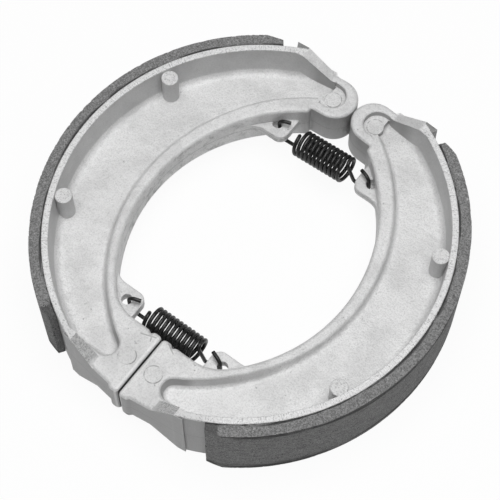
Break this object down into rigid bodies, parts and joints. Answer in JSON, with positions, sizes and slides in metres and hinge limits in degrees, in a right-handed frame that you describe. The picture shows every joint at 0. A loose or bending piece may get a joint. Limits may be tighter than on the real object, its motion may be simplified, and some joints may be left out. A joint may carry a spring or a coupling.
{
  "type": "drum brake shoe set",
  "caption": "Pair of die-cast aluminium drum brake shoes with bonded friction linings, hooked together by two extension springs so that they open about their round anchor ends.",
  "frame": {"origin": "on the drum's axis, in the plane of the table edges that the set lies on", "axes": "+Z along the drum's axis, upwards as the set lies; +Y towards the anchor ends; +X towards the right shoe"},
  "size_m": [0.1508, 0.1459, 0.033],
  "materials": {
    "cast_aluminium": "matte, fine-grained skin of a tumbled die casting, brighter on the edges",
    "friction_lining": "matte resin-bonded friction compound, speckled, with crumbly cut edges",
    "spring_wire": "satin black coated spring wire"
  },
  "bodies": {
    "left_half": {"left_shoe": "cast_aluminium", "left_lining": "friction_lining", "anchor_spring": "spring_wire", "cam_spring": "spring_wire"},
    "right_half": {"right_shoe": "cast_aluminium", "right_lining": "friction_lining"}
  },
  "joints": [
    {"name": "shoe_spread", "type": "hinge", "parent": "left_half", "child": "right_half", "pos_m": [0.00865, 0.0628, 0.0165], "axis": [0, 0, 1], "range_deg": [0, 7], "stiffness_Nm_per_rad": 38, "springref_deg": -4.87, "deforming": ["anchor_spring", "cam_spring"]}
  ]
}
